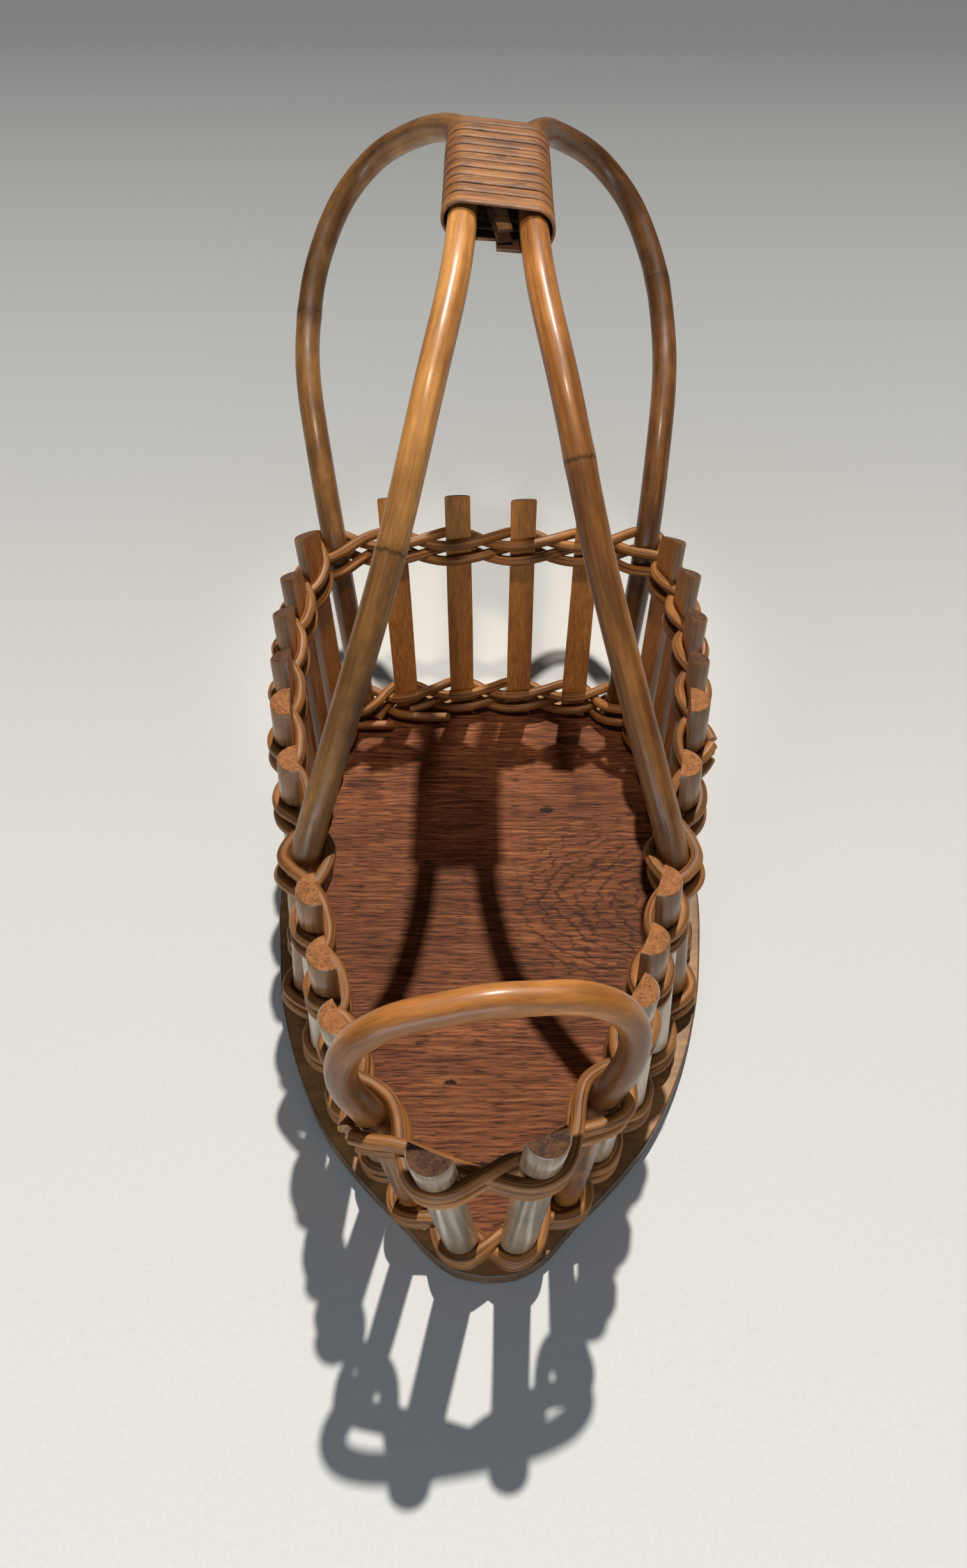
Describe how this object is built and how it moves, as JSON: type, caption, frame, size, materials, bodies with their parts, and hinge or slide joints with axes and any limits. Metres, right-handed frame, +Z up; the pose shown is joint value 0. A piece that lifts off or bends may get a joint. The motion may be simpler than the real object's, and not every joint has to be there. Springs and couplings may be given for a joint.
{
  "type": "wine bottle basket",
  "caption": "Boat-shaped wine bottle basket: cane stakes on a wooden base, two bands of pairing weave, a neck arch and a hooped handle with a cane-bound grip.",
  "frame": {"origin": "centre of the bounding box at the level of the board's underside", "axes": "+Z up, +X across the basket to the right seen from the neck end, +Y from the neck end toward the rear of the basket"},
  "size_m": [0.1386, 0.3276, 0.1932],
  "materials": {
    "board": "dark stained veneer, satin, golden brown toward the rim",
    "split_cane": "half-round split cane, glossy outside, matte fibrous inside",
    "cane_pole": "glossy natural cane bark, golden brown",
    "reed": "fine-ribbed reed, satin",
    "flat_cane": "flat cane strip, satin, stained between turns"
  },
  "bodies": {
    "root": {"base_board": "board", "left_stake_1": "split_cane", "left_stake_2": "split_cane", "left_stake_3": "split_cane", "left_stake_4": "split_cane", "left_stake_5": "split_cane", "left_stake_6": "split_cane", "left_stake_7": "split_cane", "left_stake_8": "split_cane", "left_stake_9": "split_cane", "left_stake_10": "split_cane", "right_stake_1": "split_cane", "right_stake_2": "split_cane", "right_stake_3": "split_cane", "right_stake_4": "split_cane", "right_stake_5": "split_cane", "right_stake_6": "split_cane", "right_stake_7": "split_cane", "right_stake_8": "split_cane", "right_stake_9": "split_cane", "right_stake_10": "split_cane", "rear_stake_1": "split_cane", "rear_stake_2": "split_cane", "rear_stake_3": "split_cane", "rear_stake_4": "split_cane", "handle_hoop_left": "cane_pole", "handle_hoop_right": "cane_pole", "neck_arch": "cane_pole", "upper_weaver_1": "reed", "upper_weaver_2": "reed", "upper_weaver_3": "reed", "upper_weaver_4": "reed", "lower_weaver_1": "reed", "lower_weaver_2": "reed", "lower_weaver_3": "reed", "lower_weaver_4": "reed", "handle_wrap": "flat_cane", "wrap_tail_1": "flat_cane", "wrap_tail_2": "flat_cane"}
  },
  "joints": []
}
